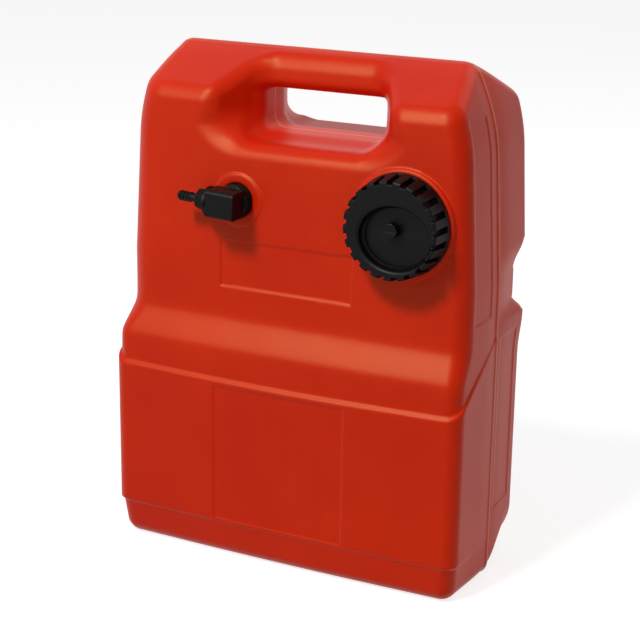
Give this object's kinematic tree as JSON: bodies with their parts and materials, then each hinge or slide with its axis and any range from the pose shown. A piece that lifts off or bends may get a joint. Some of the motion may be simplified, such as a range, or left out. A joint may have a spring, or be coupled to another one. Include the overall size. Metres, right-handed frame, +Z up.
{
  "type": "outboard fuel tank",
  "caption": "Upright moulded portable fuel tank with a carrying handle, a vented screw filler cap and a swivelling elbow with a hose barb.",
  "frame": {"origin": "on the base face, under the parting plane of the two mould halves and midway between the sides", "axes": "+Z up, -Y towards the front face with the cap and the outlet, +X to the right as seen from the front"},
  "size_m": [0.35, 0.1769, 0.47],
  "materials": {
    "tank_plastic": "satin moulded polyethylene",
    "black_plastic": "moulded black plastic",
    "seal_rubber": "plain",
    "brass": "machined",
    "steel": "plain",
    "tube_plastic": "natural"
  },
  "bodies": {
    "tank": {"tank_shell": "tank_plastic", "filler_neck": "tank_plastic", "outlet_insert": "black_plastic", "stub_gasket": "seal_rubber", "outlet_stub": "black_plastic", "swivel_seal": "seal_rubber", "swivel_clip": "steel", "drop_elbow": "black_plastic", "pickup_tube": "tube_plastic", "tube_clamp": "steel", "strainer_body": "tube_plastic", "strainer_mesh": "steel", "strainer_foot": "tube_plastic"},
    "cap_seal": {"cap_gasket": "seal_rubber"},
    "cap": {"cap_shell": "black_plastic", "cap_insert": "black_plastic", "cap_baffle": "black_plastic", "vent_bush": "brass"},
    "vent_ring": {"vent_seal": "seal_rubber"},
    "vent_screw": {"vent_knob": "black_plastic", "vent_stem": "brass", "vent_clip": "steel"},
    "outlet_elbow": {"elbow_body": "black_plastic", "elbow_collar": "black_plastic", "barb_seal": "seal_rubber", "hose_barb": "black_plastic"}
  },
  "joints": [
    {"name": "cap_lift", "type": "slide", "parent": "tank", "child": "cap_seal", "axis": [0, -1, 0], "range_m": [0, 0.0075]},
    {"name": "cap_turn", "type": "hinge", "parent": "cap_seal", "child": "cap", "pos_m": [0.1115, -0.07376, 0.339], "axis": [0, -1, 0], "range_deg": [0, 540]},
    {"name": "vent_lift", "type": "slide", "parent": "cap", "child": "vent_ring", "axis": [0, -1, 0], "range_m": [0, 0.00187]},
    {"name": "vent_turn", "type": "hinge", "parent": "vent_ring", "child": "vent_screw", "pos_m": [0.1115, -0.09041, 0.339], "axis": [0, -1, 0], "range_deg": [0, 540]},
    {"name": "elbow_swivel", "type": "hinge", "parent": "tank", "child": "outlet_elbow", "pos_m": [-0.0475, -0.07751, 0.342], "axis": [0, -1, 0], "continuous": true}
  ],
  "couplings": [
    {"joint": "cap_turn", "follows": "cap_lift", "rad_per_m": 1256.6},
    {"joint": "vent_turn", "follows": "vent_lift", "rad_per_m": 5026.5}
  ]
}
